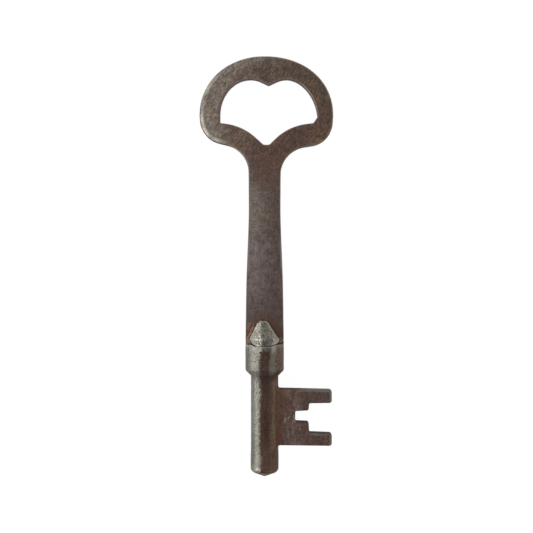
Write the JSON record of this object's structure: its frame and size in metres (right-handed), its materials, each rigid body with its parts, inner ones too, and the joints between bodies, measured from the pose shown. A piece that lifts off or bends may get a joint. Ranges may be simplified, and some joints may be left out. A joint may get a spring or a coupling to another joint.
{
  "type": "skeleton key",
  "caption": "Steel skeleton key for a mortice lock: a pierced oval bow on a flat tapering stem, held by a ferrule to a round shank with a stepped, notched bit.",
  "frame": {"origin": "on the shank's axis, in the plane of the ferrule's lower rim", "axes": "+Y along the shank towards the bow, +X towards the bit, +Z out of the key's front face"},
  "size_m": [0.0308, 0.0967, 0.0088],
  "materials": {
    "plate_steel": "aged brown patina with light rust",
    "shank_steel": "worn, pitted, with brown patina",
    "ferrule_steel": "worn, pitted, with brown patina",
    "bit_steel": "ground, with dark brown patina",
    "rivet_steel": "plain",
    "braze": "tarnished"
  },
  "bodies": {
    "root": {"bow_plate": "plate_steel", "shank": "shank_steel", "ferrule": "ferrule_steel", "bit": "bit_steel", "tang_rivet": "rivet_steel", "bit_braze": "braze"}
  },
  "joints": []
}
